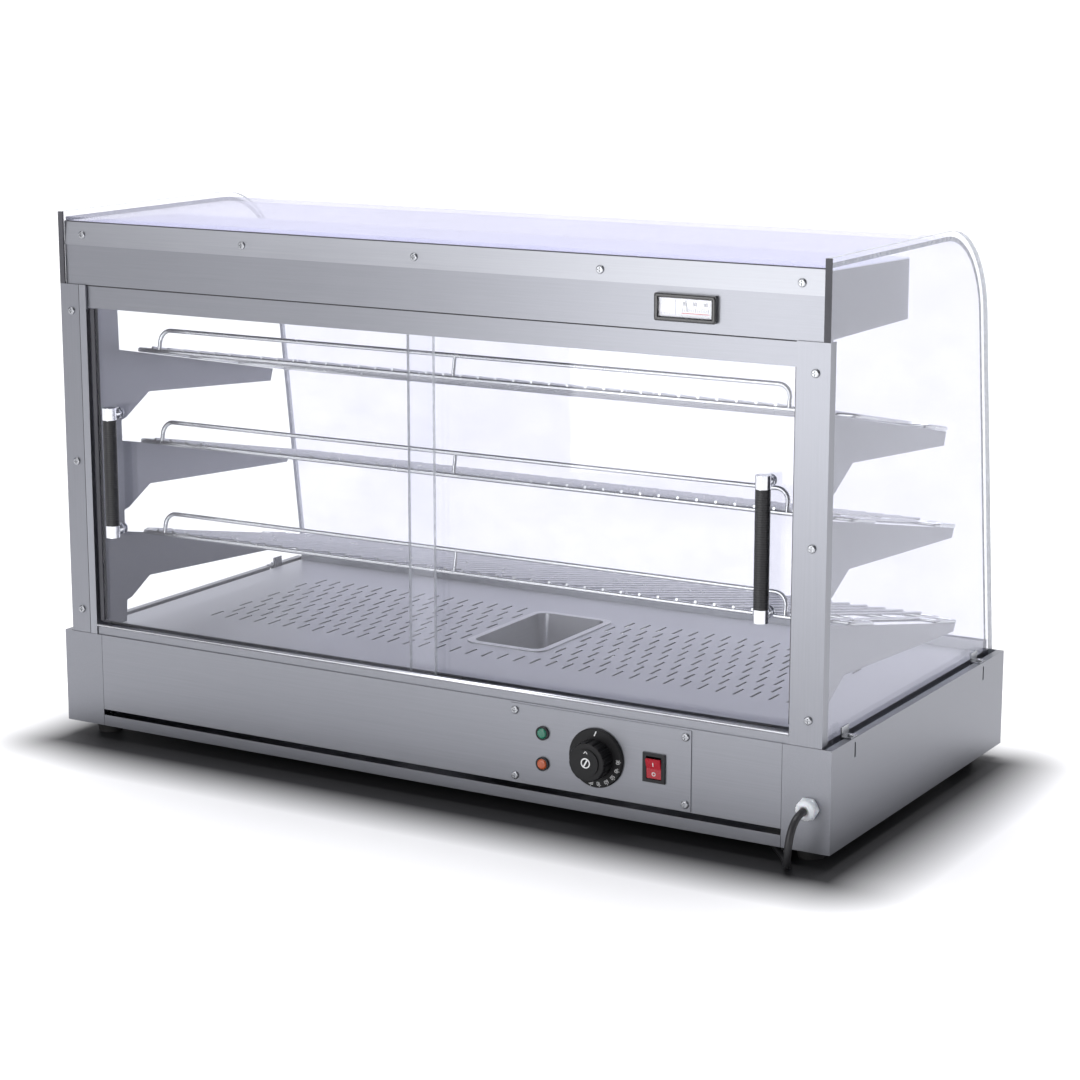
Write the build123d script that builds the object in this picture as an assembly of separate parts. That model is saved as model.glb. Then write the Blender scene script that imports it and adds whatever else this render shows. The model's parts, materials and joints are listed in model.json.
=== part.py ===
from build123d import *
import math
import os

# Countertop hot food display case, millimetres, +Z up.
# Shapes are drawn with x centred, y measured from the front face of the base (service side, doors
# and controls) towards the curved customer glass, and z measured from the underside of the base.
# save() then moves them to the part's frame: origin on the counter, under the middle of the case.

# Driving dimensions
WIDTH = 1000.0
DEPTH = 474.0
BASE_H = 110.8
GLASS_TOP = 608.0
CANOPY_Z = 525.0
FOOT_H = 16.0
KNOB_REACH = 26.0
SHEET = 1.2
GLASS = 5.0

HALF = WIDTH / 2
MIDDLE_Y = (DEPTH - KNOB_REACH) / 2

# Base
BLOCK_W = 55.0
PANEL_LOW = 20.0
STRIP_H = 13.0
DECK_HALF = 481.2
LEDGE_Z = 100.0
CONTROL_X = (121.0, 341.0)
CONTROL_Z = (20.6, 109.0)
LAMP_X = 162.0
LAMP_Z = {"green": 80.5, "orange": 46.2}
KNOB_AT = (228.6, 63.3)
SWITCH_AT = (298.0, 62.7)
GLAND_AT = (476.0, 47.0)
PAN_AT = (-7.0, 278.5)
PAN_RIM = (108.0, 176.0)
PAN_DEPTH = 60.0
FOOT_AT = (464.0, 34.0)

# Cabinet
POST_X = (451.6, 488.8)
GLASS_X = 482.0
LEAN = math.radians(7.3)
GLASS_FOOT_Y = 470.0
GLASS_ROUND = 112.0
BRACKET_X = 460.0
BRACKET_T = 1.5

# Doors: y of the outer face of each glass, half overlap at the middle, outer edge of the pair
DOOR_Y = {"left": 5.7, "right": 17.0}
DOOR_LAP = 20.0
DOOR_EDGE = 447.0
HANDLE_X = 416.0
HANDLE_Z = (233.5, 386.0)
HANDLE_OFF = 13.0
HANDLE_R = 8.0

# Racks: height of the near wire and y of the far wire
RACK_SLOPE = 11.5
RACK_NEAR_Y = 78.0
RACKS = {"top": (442.0, 375.0), "middle": (333.0, 408.0), "bottom": (222.7, 420.0)}
RACK_HALF = 443.0
RACK_PITCH = 22.5
GUARD_HALF = 408.0
GUARD_H = 25.0
UNDER = (0, 0, -1)

# Power cord, in the part's own frame: gland tip, down to the counter, under the base, to the coil
CORD_D = 8.0
CORD_LIE = CORD_D / 2
CORD_ROUTE = [
    (476, -237.05, 63),
    (476, -251, 63),
    (474.6, -264, 48.5),
    (473, -267, 27),
    (469, -259, 9.5),
    (461, -241, 4),
    (443, -213, 4),
    (402, -167, 4),
    (355, -105, 4),
    (292, -43, 4),
    (236, 33, 4),
    (184, 117, 4),
    (148, 201, 4),
    (104, 269, 4),
    (76, 337, 4),
]
COIL_MID_R = 44.0
COIL_AT = (30.0, 359.0)

os.makedirs("parts", exist_ok=True)


def save(name, shape, shift=(0, -MIDDLE_Y, FOOT_H)):
    solids = [solid.moved(Location(shift)) for solid in shape.solids()]
    export_step(solids[0] if len(solids) == 1 else Compound(solids), f"parts/{name}.step")


def slab(x, y, z):
    """Box from (low, high) pairs along each axis."""
    size = (x[1] - x[0], y[1] - y[0], z[1] - z[0])
    middle = ((x[0] + x[1]) / 2, (y[0] + y[1]) / 2, (z[0] + z[1]) / 2)
    return Pos(*middle) * Box(*size)


def rod(start, end, radius, seam=None):
    """Round bar from start to end; seam is the side that its surface closes on."""
    a = Vector(*start)
    b = Vector(*end)
    return Solid.make_cylinder(radius, (b - a).length, Plane(origin=a, x_dir=seam, z_dir=b - a))


def along_y(x, z, y, radius):
    """Round bar along Y between y[0] and y[1]."""
    return rod((x, y[0], z), (x, y[1], z), radius)


def along_z(x, y, z, radius):
    """Round bar along Z between z[0] and z[1]."""
    return rod((x, y, z[0]), (x, y, z[1]), radius)


def profile_x(points, x):
    """Prism along X over an outline of (y, z) points."""
    face = make_face(Polyline(*[(0, p[0], p[1]) for p in points], close=True))
    return Pos(x[0], 0, 0) * extrude(face, amount=x[1] - x[0], dir=(1, 0, 0))


def mirrored(shape):
    return mirror(shape, about=Plane.YZ)


def fuse(shapes):
    return shapes[0].fuse(*shapes[1:]).clean()


# ---------------------------------------------------------------- base

def base_tray():
    inner = HALF - SHEET - 0.2
    floor = slab((-inner, inner), (SHEET + 0.2, DEPTH - SHEET - 0.2), (0, SHEET))
    front = BLOCK_W - HALF
    lip = slab((front + 0.5, -front - 0.5), (0, SHEET + 0.4), (0, SHEET))
    strip = slab((front + 0.5, -front - 0.5), (0, SHEET), (0, STRIP_H))
    tray = fuse([floor, lip, strip])
    slots = []
    for row in range(3):
        for column in range(10):
            at = (-360 + 80 * column, 150 + 90 * row)
            slots.append(slab((at[0] - 25, at[0] + 25), (at[1] - 1.8, at[1] + 1.8), (-1, 3)))
    holes = [along_z(*at, (-1, 3), 2.6) for at in foot_places()]
    return tray.cut(*slots, *holes)


def base_side():
    side = slab((HALF - SHEET, HALF), (0, DEPTH), (0, BASE_H))
    front = slab((HALF - BLOCK_W, HALF), (0, SHEET), (0, BASE_H))
    rear = slab((HALF - 30, HALF), (DEPTH - SHEET, DEPTH), (0, BASE_H))
    lip = slab((491.5, HALF), (0, DEPTH), (BASE_H - SHEET, BASE_H))
    corner = slab((HALF - BLOCK_W, DECK_HALF), (0, 14), (BASE_H - SHEET, BASE_H))
    panel = fuse([side, front, rear, lip, corner])
    cuts = [slab((HALF - 3, HALF + 1), (y - 1.5, y + 1.5), (90, 106)) for y in (58, 411)]
    return panel.cut(*cuts)


def base_side_right():
    return base_side().cut(along_y(*GLAND_AT, (-1, 3), 8.1))


def base_front_panel():
    half = HALF - BLOCK_W - 0.4
    front = slab((-half, half), (0, SHEET), (PANEL_LOW, BASE_H - SHEET))
    low = slab((-half, half), (0, 12), (PANEL_LOW, PANEL_LOW + SHEET))
    top = slab((-half, half), (0, 14), (BASE_H - SHEET, BASE_H))
    opening = slab((CONTROL_X[0] + 14, CONTROL_X[1] - 14), (-1, 2), (33, 98))
    return fuse([front, low, top]).cut(opening)


def base_rear_panel():
    panel = slab((-469.6, 469.6), (DEPTH - SHEET, DEPTH), (SHEET + 0.2, BASE_H - SHEET))
    slots = []
    for group in (-300, 0, 300):
        for row in range(5):
            z = 36 + 10 * row
            slots.append(slab((group - 50, group + 50), (DEPTH - 3, DEPTH + 1), (z - 1.6, z + 1.6)))
    return panel.cut(*slots)


def deck_plate():
    top = slab((-DECK_HALF, DECK_HALF), (14.3, DEPTH - 1.4), (BASE_H - SHEET, BASE_H))
    rear = slab((-470, 470), (DEPTH - 2.6, DEPTH - 1.4), (LEDGE_Z, BASE_H))
    parts = [top, rear]
    for side in (-1, 1):
        wall = sorted((side * (DECK_HALF - SHEET), side * DECK_HALF))
        ledge = sorted((side * (DECK_HALF - SHEET), side * 490.5))
        parts.append(slab(wall, (16, DEPTH - 4), (LEDGE_Z - SHEET, BASE_H)))
        parts.append(slab(ledge, (16, DEPTH - 4), (LEDGE_Z - SHEET, LEDGE_Z)))
    hole = extrude(RectangleRounded(96, 164, 14), amount=6, both=True)
    plate = fuse(parts).cut(Pos(*PAN_AT, BASE_H) * hole)
    return plate.cut(*deck_slots())


def deck_slots():
    """Staggered rows of vent slots, left out round the pan."""
    slots = []
    for row in range(8):
        y = 156.5 + 29.1 * row
        start = -393.0 + (10.75 if row % 2 else 0)
        for column in range(37):
            x = start + 21.5 * column
            near_pan = abs(x - PAN_AT[0]) < PAN_RIM[0] / 2 + 8 and abs(y - PAN_AT[1]) < PAN_RIM[1] / 2 + 18
            if not near_pan:
                slots.append(slab((x - 1.5, x + 1.5), (y - 12.5, y + 12.5), (BASE_H - 3, BASE_H + 1)))
    return slots


def water_pan():
    rim_z = BASE_H + 0.3
    rim = Pos(0, 0, rim_z) * extrude(RectangleRounded(*PAN_RIM, 16), amount=1.0)
    outer = Pos(0, 0, rim_z + 1) * extrude(RectangleRounded(94, 162, 13), amount=-PAN_DEPTH, taper=6)
    inner = Pos(0, 0, rim_z + 2) * extrude(RectangleRounded(92, 160, 12), amount=-PAN_DEPTH, taper=6)
    pan = rim.fuse(outer).cut(inner)
    return Pos(*PAN_AT, 0) * pan


def feet():
    foot = Solid.make_cone(14, 16, FOOT_H, Plane.XY.offset(-FOOT_H))
    foot = foot.cut(along_z(0, 0, (-FOOT_H, -5), 6), along_z(0, 0, (-6, 0), 2.6))
    return Compound([Pos(*at, 0) * foot for at in foot_places()])


def foot_places():
    return [(sx * FOOT_AT[0], y) for sx in (-1, 1) for y in (FOOT_AT[1], DEPTH - FOOT_AT[1])]


def foot_screws():
    head = Solid.make_cylinder(4.5, 3, Plane.XY.offset(-8))
    shank = Solid.make_cylinder(2.4, 15, Plane.XY.offset(-8))
    nut = extrude(RegularPolygon(4.6, 6), amount=4)
    screw = head.fuse(shank, Pos(0, 0, SHEET) * nut)
    return Compound([Pos(*at, 0) * screw for at in foot_places()])


# ---------------------------------------------------------------- controls

def control_plate():
    plate = slab(CONTROL_X, (-SHEET, 0), CONTROL_Z)
    holes = [along_y(*KNOB_AT, (-3, 1), 5.1)]
    holes += [along_y(LAMP_X, z, (-3, 1), 6.1) for z in LAMP_Z.values()]
    x, z = SWITCH_AT
    holes.append(slab((x - 11.2, x + 11.2), (-3, 1), (z - 14.2, z + 14.2)))
    return plate.cut(*holes)


def pan_screw():
    """Pan-head screw seated at the origin, head towards -Y."""
    head = Solid.make_cylinder(4.5, 2.4, Plane(origin=(0, 0, 0), z_dir=(0, -1, 0)))
    head = fillet(head.edges().sort_by(Axis.Y)[0], 1.6)
    cross = slab((-2.6, 2.6), (-3, -1.2), (-0.5, 0.5)).fuse(slab((-0.5, 0.5), (-3, -1.2), (-2.6, 2.6)))
    shank = Solid.make_cylinder(1.9, 7, Plane(origin=(0, 0, 0), z_dir=(0, 1, 0)))
    return head.cut(cross).fuse(shank)


def panel_screws():
    """The same screw on the control plate, the posts and the top strip."""
    screw = pan_screw()
    places = [(x, -SHEET, z) for x in (127.3, 334.6) for z in (28.3, 101.6)]
    places += [(side * 473.0, 0.8, z) for side in (-1, 1) for z in (139.0, 317.0, 494.0)]
    places += [(x, 3.0, 582.3) for x in (-455.5, -227.75, 0.0, 227.75, 455.5)]
    return Compound([Pos(*at) * screw for at in places])


def lamp_bodies():
    bodies = []
    for z in LAMP_Z.values():
        ring = along_y(LAMP_X, z, (-3.6, -SHEET), 7.75)
        barrel = along_y(LAMP_X, z, (-SHEET, 22), 5.9)
        nut = along_y(LAMP_X, z, (0.1, 4), 8)
        well = along_y(LAMP_X, z, (-4, -2), 6.0)
        bodies.append(ring.fuse(barrel, nut).cut(well))
    return Compound(bodies)


def lamp_lens(z):
    drum = along_y(LAMP_X, z, (-5.4, -2), 5.9)
    return fillet(drum.edges().sort_by(Axis.Y)[0], 2.6)


def thermostat_body():
    x, z = KNOB_AT
    case = slab((x - 19, x + 19), (3.5, 34), (z - 24, z + 24))
    bush = along_y(x, z, (-SHEET, 3.5), 4.9)
    bore = along_y(x, z, (-3, 16), 3.05)
    return case.fuse(bush).cut(bore)


def knob():
    """Knob on its spindle: printed skirt, fluted grip and spindle."""
    x, z = KNOB_AT
    skirt = along_y(x, z, (-5.2, -1.7), 32.5)
    skirt = chamfer(skirt.edges().sort_by(Axis.Y)[0], 1.2)
    grip = along_y(x, z, (-24.5, -5.2), 21.5)
    grip = fillet(grip.edges().sort_by(Axis.Y)[0], 2.0)
    cap = along_y(x, z, (-26.0, -24.5), 15)
    spindle = along_y(x, z, (-3, 15), 3.0)
    flutes = []
    for step in range(16):
        turn = math.radians(22.5 * step)
        at = (x + 22.6 * math.cos(turn), z + 22.6 * math.sin(turn))
        flutes.append(along_y(*at, (-25, -6.5), 2.2))
    return skirt.fuse(grip, cap, spindle).cut(*flutes)


def switch_housing():
    x, z = SWITCH_AT
    bezel = slab((x - 13.2, x + 13.2), (-3.4, -SHEET), (z - 16, z + 16))
    barrel = slab((x - 11, x + 11), (-SHEET, 22), (z - 14, z + 14))
    well = slab((x - 9, x + 9), (-4, 13), (z - 12.4, z + 12.4))
    pivot = rod((x - 10.2, 3, z), (x + 10.2, 3, z), 1.55)
    return bezel.fuse(barrel).cut(well, pivot)


def switch_rocker():
    x, z = SWITCH_AT
    outline = [(7, -7), (-2.4, -11.2), (-4.4, -10.6), (-3.2, 0), (-4.4, 10.6), (-2.4, 11.2), (7, 7)]
    body = profile_x(outline, (-8.6, 8.6))
    pins = rod((-10, 3, 0), (10, 3, 0), 1.5)
    rocker = body.fuse(pins)
    tilt = Pos(0, 3, 0) * Rot(10, 0, 0) * Pos(0, -3, 0)
    return Pos(x, 0, z) * tilt * rocker


def heating_elements():
    loops = []
    for side in (-1, 1):
        x_near, x_far = side * 85, side * 415
        points = [(x_near, 180, 60), (x_far, 180, 60), (x_far, 345, 60), (x_near, 345, 60)]
        loops.append(wire(points, 40, 4))
    return Compound(loops)


def heater_brackets():
    brackets = []
    for x in (-330, -150, 150, 330):
        foot = slab((x - 9, x + 9), (160, 365), (SHEET, 2 * SHEET))
        legs = [slab((x - 9, x + 9), (y - 0.6, y + 0.6), (SHEET, 56)) for y in (172, 353)]
        brackets.append(foot.fuse(*legs, slab((x - 9, x + 9), (171.4, 353.6), (54.8, 56))))
    return Compound(brackets)


def terminal_block():
    block = slab((396, 456), (70, 92), (SHEET, 20))
    wells = [along_z(402 + 12 * step, 81, (12, 21), 3) for step in range(5)]
    return block.cut(*wells)


def cable_gland():
    x, z = GLAND_AT
    hexagon = Plane(origin=(x, 0, z), x_dir=(1, 0, 0), z_dir=(0, -1, 0)) * RegularPolygon(12.5, 6)
    body = extrude(hexagon, amount=8)
    dome = Solid.make_cone(10.5, 7.5, 5, Plane(origin=(x, -8, z), z_dir=(0, -1, 0)))
    thread = along_y(x, z, (0, 14), 7.9)
    nut = Pos(0, SHEET, 0) * extrude(hexagon, amount=-5)
    return body.fuse(dome, thread, nut)


# ---------------------------------------------------------------- cabinet

def glass_region(inset, front, low):
    """Outline (y, z) inside the end-glass line by inset: flat top, round shoulder, leaning front."""
    top = GLASS_TOP - inset
    foot = Vector(0, GLASS_FOOT_Y - inset / math.cos(LEAN), BASE_H)
    corner_y = foot.Y - (top - foot.Z) * math.tan(LEAN)
    low_y = foot.Y + (foot.Z - low) * math.tan(LEAN)
    outline = FilletPolyline((0, low_y, low), (0, corner_y, top), (0, front, top), radius=GLASS_ROUND - inset)
    rest = Polyline((0, front, top), (0, front, low), (0, low_y, low))
    return make_face([*outline.edges(), *rest.edges()])


def end_glass():
    face = glass_region(0, 2.3, LEDGE_Z + 0.1)
    return Pos(GLASS_X, 0, 0) * extrude(face, amount=GLASS, dir=(1, 0, 0))


def curved_glass():
    half = GLASS_X - 0.5
    outer = extrude(glass_region(6, 6, BASE_H + 2), amount=2 * half, dir=(1, 0, 0))
    inner = extrude(glass_region(6 + GLASS, 5, BASE_H + 1), amount=2 * half, dir=(1, 0, 0))
    return Pos(-half, 0, 0) * outer.cut(inner)


def rear_glass_channel():
    y0, y1 = 455.6, 467.6
    z0 = BASE_H
    outline = [(y0, z0), (y1, z0), (y1, 123), (y1 - 1.2, 123), (y1 - 1.2, z0 + 1.2), (y0 + 1.2, z0 + 1.2)]
    outline += [(y0 + 1.2, 123), (y0, 123)]
    return profile_x(outline, (-481, 481))


def glass_edge_seals():
    seal = slab((481.4, 488.0), (-0.2, 2.2), (CANOPY_Z + 0.2, GLASS_TOP))
    return Compound([seal, mirrored(seal)])


def glass_clips():
    clips = []
    for y in (58, 411):
        upright = slab((487.2, 488.4), (y - 9, y + 9), (LEDGE_Z + 0.2, 122))
        foot = slab((487.2, 499), (y - 9, y + 9), (BASE_H, BASE_H + SHEET))
        clip = upright.fuse(foot).cut(along_z(494.5, y, (BASE_H - 1, BASE_H + 3), 1.6))
        clips += [clip, mirrored(clip)]
    return Compound(clips)


def glass_clip_screws():
    screws = []
    for y in (58, 411):
        head = along_z(494.5, y, (BASE_H + SHEET, BASE_H + SHEET + 2.2), 3.2)
        shank = along_z(494.5, y, (BASE_H - 5, BASE_H + SHEET), 1.5)
        screw = fillet(head.edges().sort_by(Axis.Z)[-1], 1.2).fuse(shank)
        screws += [screw, mirrored(screw)]
    return Compound(screws)


def post():
    low, high = BASE_H + 0.2, CANOPY_Z
    front = slab(POST_X, (0.8, 2.0), (low, high))
    outer = slab((POST_X[1] - SHEET, POST_X[1]), (0.8, 14), (low, high))
    inner = slab((POST_X[0], POST_X[0] + SHEET), (0.8, 27), (low, high))
    return fuse([front, outer, inner])


def rack_plane_z(name, y):
    return RACKS[name][0] - (y - RACK_NEAR_Y) * math.tan(math.radians(RACK_SLOPE))


def bracket():
    """Side plate with three arms: strip up the post and one tapered arm under each rack."""
    drop = 2.5 + 0.4
    outline = [(2.2, BASE_H + 1), (66, BASE_H + 1)]
    tips = {"bottom": 418.0, "middle": 404.0, "top": 372.0}
    tip_h = {"bottom": 9.0, "middle": 10.0, "top": 15.0}
    knee = {"bottom": (112.0, 60.0), "middle": (118.0, 58.0), "top": (121.0, 55.0)}
    for name in ("bottom", "middle", "top"):
        near = rack_plane_z(name, RACK_NEAR_Y) - drop
        tip = rack_plane_z(name, tips[name]) - drop
        outline += [(68, near - 82), (77, near - 80), (knee[name][0], near - knee[name][1])]
        outline += [(tips[name] - 5, tip - tip_h[name]), (tips[name], tip), (68, near + 2)]
    outline += [(66, CANOPY_Z - 1), (2.2, CANOPY_Z - 1)]
    plate = profile_x(outline, (BRACKET_X, BRACKET_X + BRACKET_T))
    flange = slab((BRACKET_X, 480), (2.2, 3.7), (BASE_H + 1, CANOPY_Z - 1))
    return plate.fuse(flange)


def door_track_bottom():
    floor_z, top = BASE_H, 121.5
    parts = [slab((-451, 451), (2, 25.8), (floor_z, floor_z + SHEET))]
    for y in (2.0, 13.2, 24.6):
        parts.append(slab((-451, 451), (y, y + SHEET), (floor_z, top)))
    parts.append(slab((-451, 451), (1.4, 3.8), (top, 123.5)))
    return fuse(parts)


def door_track_top():
    parts = [slab((-451, 451), (4, 25.8), (CANOPY_Z - SHEET, CANOPY_Z))]
    for y in (4.0, 13.2, 24.6):
        parts.append(slab((-451, 451), (y, y + SHEET), (498.5, CANOPY_Z)))
    return fuse(parts)


def canopy_shell():
    """Sheet box under the flat glass: floor, sides and rear wall, open at the top for its lid."""
    side_outline = [(4.3, CANOPY_Z), (209, CANOPY_Z), (209, 588), (5.3, 594), (4.3, 569)]
    sides = [profile_x(side_outline, (x, x + SHEET)) for x in (-480.8, 479.6)]
    floor = slab((-480.8, 480.8), (4.3, 209), (CANOPY_Z, CANOPY_Z + SHEET))
    rear = slab((-480.8, 480.8), (209 - SHEET, 209), (CANOPY_Z, 588))
    return fuse([floor, rear, *sides])


def canopy_lid():
    outline = [(5.3, 594.1), (209, 588.1), (209, 589.3), (5.3, 595.3)]
    return profile_x(outline, (-480.8, 480.8))


def canopy_fascia():
    plate = slab((-481, 481), (3.0, 4.2), (CANOPY_Z, 570.4))
    return plate.cut(slab((296.8, 359.2), (2, 6), (538.8, 559.7)))


def top_strip():
    outline = [(1.7, 570.5), (2.9, 570.5), (4.9, 595.6), (16, 595.6), (16, 596.8), (3.9, 596.8)]
    return profile_x(outline, (-481, 481))


def thermometer_case():
    bezel = slab((293, 363), (-2, 3), (535, 563.5))
    bezel = fillet(bezel.edges().filter_by(Axis.Y), 2.0)
    barrel = slab((297, 359), (3, 15), (539, 559.5))
    window = slab((297.5, 358.5), (-3, 1.6), (539.5, 559))
    return bezel.fuse(barrel).cut(window)


def thermometer_face():
    return slab((297.6, 358.4), (0.6, 1.5), (539.6, 558.9))


def thermometer_lens():
    return slab((297.6, 358.4), (-1.4, -0.4), (539.6, 558.9))


# ---------------------------------------------------------------- doors

def door_span(side):
    if side == "left":
        return (-DOOR_EDGE, DOOR_LAP)
    return (-DOOR_LAP, DOOR_EDGE)


def door_glass(side):
    y = DOOR_Y[side]
    pane = slab(door_span(side), (y, y + GLASS), (115.4, 513))
    sign = -1 if side == "left" else 1
    holes = [along_y(sign * HANDLE_X, z, (y - 1, y + 6), 3.2) for z in handle_bolt_heights()]
    return pane.cut(*holes)


def handle_bolt_heights():
    return (HANDLE_Z[0] + 8, HANDLE_Z[1] - 8)


def door_shoes(side):
    """Two low-friction shoes that carry the pane in the bottom track."""
    low, high = door_span(side)
    middle = DOOR_Y[side] + GLASS / 2
    shoes = []
    for x in (low + 45, high - 45):
        block = slab((x - 20, x + 20), (middle - 4.3, middle + 4.3), (112.3, 120.5))
        slot = slab((x - 21, x + 21), (middle - 2.55, middle + 2.55), (115.3, 121))
        shoes.append(block.cut(slot))
    return Compound(shoes)


def handle_posts(side):
    """Two chromed ends: cap on the bar, stand-off to the pane, bolt through it and inner washer."""
    x = (-1 if side == "left" else 1) * HANDLE_X
    face = DOOR_Y[side]
    bar_y = face - HANDLE_OFF
    posts = []
    for z, low, high in ((HANDLE_Z[0] + 8, HANDLE_Z[0], HANDLE_Z[0] + 14),
                         (HANDLE_Z[1] - 8, HANDLE_Z[1] - 14, HANDLE_Z[1])):
        cap = rod((x, bar_y, low), (x, bar_y, high), HANDLE_R + 0.2)
        arm = rod((x, bar_y, z), (x, face, z), 4.5)
        collar = rod((x, face - 2, z), (x, face, z), 7)
        bolt = rod((x, face, z), (x, face + GLASS, z), 3.1)
        washer = rod((x, face + GLASS, z), (x, face + GLASS + 1.2, z), 6.5)
        posts.append(cap.fuse(arm, collar, bolt, washer))
    return Compound(posts)


def handle_grip(side):
    x = (-1 if side == "left" else 1) * HANDLE_X
    bar_y = DOOR_Y[side] - HANDLE_OFF
    return rod((x, bar_y, HANDLE_Z[0] + 14), (x, bar_y, HANDLE_Z[1] - 14), HANDLE_R)


# ---------------------------------------------------------------- racks

def rack(name):
    """Welded wire rack, drawn flat from its near wire and then tilted: u runs down the slope."""
    near_z, far_y = RACKS[name]
    reach = (far_y - RACK_NEAR_Y) / math.cos(math.radians(RACK_SLOPE))
    half = RACK_HALF
    corners = [(-half, 0, 0), (half, 0, 0), (half, reach, 0), (-half, reach, 0)]
    wires = [wire(corners, 12, 2.7, close=True)]
    for share in (0.34, 0.67):
        wires.append(rod((-half, reach * share, 0), (half, reach * share, 0), 2.5, UNDER))
    count = int(2 * (half - 20) / RACK_PITCH) + 1
    first = -RACK_PITCH * (count - 1) / 2
    for step in range(count):
        x = first + RACK_PITCH * step
        wires.append(rod((x, -2.6, 3.3), (x, reach + 2.6, 3.3), 1.6, (0, 0, 1)))
    wires += hangers(half, reach)
    guard = [(-GUARD_HALF, 0, 0), (-GUARD_HALF, 0, GUARD_H), (GUARD_HALF, 0, GUARD_H), (GUARD_HALF, 0, 0)]
    wires.append(wire(guard, 14, 2.5, seam=(0, -1, 0)))
    wires.append(rod((0, 0, 0), (0, 0, GUARD_H), 2.1))
    flat = fuse(wires)
    return Pos(0, RACK_NEAR_Y, near_z) * Rot(-RACK_SLOPE, 0, 0) * flat


def wire(points, bend, radius, close=False, seam=UNDER):
    """Round wire bent along a line of points; seam is the side that its surface closes on."""
    path = FilletPolyline(*points, radius=bend, close=close)
    return sweep(Plane(origin=path @ 0, x_dir=seam, z_dir=path % 0) * Circle(radius), path=path)


def hangers(half, reach):
    """Loops at the four corners that rest on the bracket arms."""
    loops = []
    out = BRACKET_X + 8
    for side in (-1, 1):
        for start in (40, reach - 70):
            inner, outer = side * half, side * out
            points = [(inner, start, 0), (outer, start, 0), (outer, start + 52, 0), (inner, start + 52, 0)]
            loops.append(wire(points, 5, 2.3))
    return loops


# ---------------------------------------------------------------- power cord

def corner_radii(points):
    radii = []
    for a, b, c in zip(points, points[1:], points[2:]):
        run_in = Vector(*b) - Vector(*a)
        run_out = Vector(*c) - Vector(*b)
        turn = math.radians(run_in.get_angle(run_out))
        radii.append(0.45 * min(run_in.length, run_out.length) / math.tan(turn / 2))
    return radii


def power_cord():
    radii = corner_radii(CORD_ROUTE)
    path = FilletPolyline(*CORD_ROUTE, radius=radii)
    print("cord radii", [round(r, 1) for r in radii], "length", round(path.length, 1))
    tube = sweep(Plane(origin=path @ 0, z_dir=path % 0) * Circle(CORD_D / 2), path=path)
    print("cord volume", round(tube.volume), "section x length", round(math.pi * CORD_D ** 2 / 4 * path.length))
    return tube


def cord_coil():
    """Outer shape of the wound cord: a flat ring with round edges, lying on the counter."""
    height = 2.2 * CORD_D - 0.2
    band = Pos(COIL_MID_R, height / 2) * RectangleRounded(1.9 * CORD_D, height, 3.9)
    ring = revolve(Plane.XZ * band, axis=Axis.Z)
    return Pos(*COIL_AT, 0) * ring


def plug_body():
    """Moulded mains plug with its sleeve, lying beside the coil."""
    grip = extrude(RectangleRounded(34, 26, 9), amount=34)
    face = Pos(0, 0, 34) * extrude(Circle(17), amount=6)
    sleeve = Solid.make_cone(4.6, 8, 26, Plane.XY.offset(-26))
    lying = Rot(0, 90, 0) * Rot(0, 0, 90) * grip.fuse(face, sleeve)
    return plug_place() * lying


def plug_pins():
    pins = [Pos(0, dy, 40) * Solid.make_cylinder(2.4, 19) for dy in (-9.5, 9.5)]
    lying = [plug_place() * Rot(0, 90, 0) * pin for pin in pins]
    return Compound(lying)


def plug_place():
    return Pos(COIL_AT[0] - 60, COIL_AT[1] + COIL_MID_R, 17.1) * Rot(0, 0, 180)


SAVED = {
    "base_tray": base_tray,
    "base_side_left": lambda: mirrored(base_side()),
    "base_side_right": base_side_right,
    "base_front_panel": base_front_panel,
    "base_rear_panel": base_rear_panel,
    "deck_plate": deck_plate,
    "water_pan": water_pan,
    "feet": feet,
    "foot_screws": foot_screws,
    "control_plate": control_plate,
    "panel_screws": panel_screws,
    "lamp_bodies": lamp_bodies,
    "lamp_lens_green": lambda: lamp_lens(LAMP_Z["green"]),
    "lamp_lens_orange": lambda: lamp_lens(LAMP_Z["orange"]),
    "thermostat_body": thermostat_body,
    "knob": knob,
    "switch_housing": switch_housing,
    "switch_rocker": switch_rocker,
    "heating_elements": heating_elements,
    "heater_brackets": heater_brackets,
    "terminal_block": terminal_block,
    "cable_gland": cable_gland,
    "post_left": lambda: mirrored(post()),
    "post_right": post,
    "bracket_left": lambda: mirrored(bracket()),
    "bracket_right": bracket,
    "end_glass_left": lambda: mirrored(end_glass()),
    "end_glass_right": end_glass,
    "curved_glass": curved_glass,
    "rear_glass_channel": rear_glass_channel,
    "glass_edge_seals": glass_edge_seals,
    "glass_clips": glass_clips,
    "glass_clip_screws": glass_clip_screws,
    "door_track_bottom": door_track_bottom,
    "door_track_top": door_track_top,
    "canopy_shell": canopy_shell,
    "canopy_lid": canopy_lid,
    "canopy_fascia": canopy_fascia,
    "top_strip": top_strip,
    "thermometer_case": thermometer_case,
    "thermometer_face": thermometer_face,
    "thermometer_lens": thermometer_lens,
}

for node, make in SAVED.items():
    save(node, make())

for hand in ("left", "right"):
    save(f"door_{hand}_glass", door_glass(hand))
    save(f"door_{hand}_shoes", door_shoes(hand))
    save(f"door_{hand}_handle_posts", handle_posts(hand))
    save(f"door_{hand}_grip", handle_grip(hand))

for level in RACKS:
    save(f"rack_{level}", rack(level))

for node, make in (("power_cord", power_cord), ("cord_coil", cord_coil), ("plug_body", plug_body),
                   ("plug_pins", plug_pins)):
    save(node, make(), shift=(0, 0, 0))
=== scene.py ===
import json
import math

import bmesh
import bpy
from mathutils import Matrix, Vector


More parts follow.
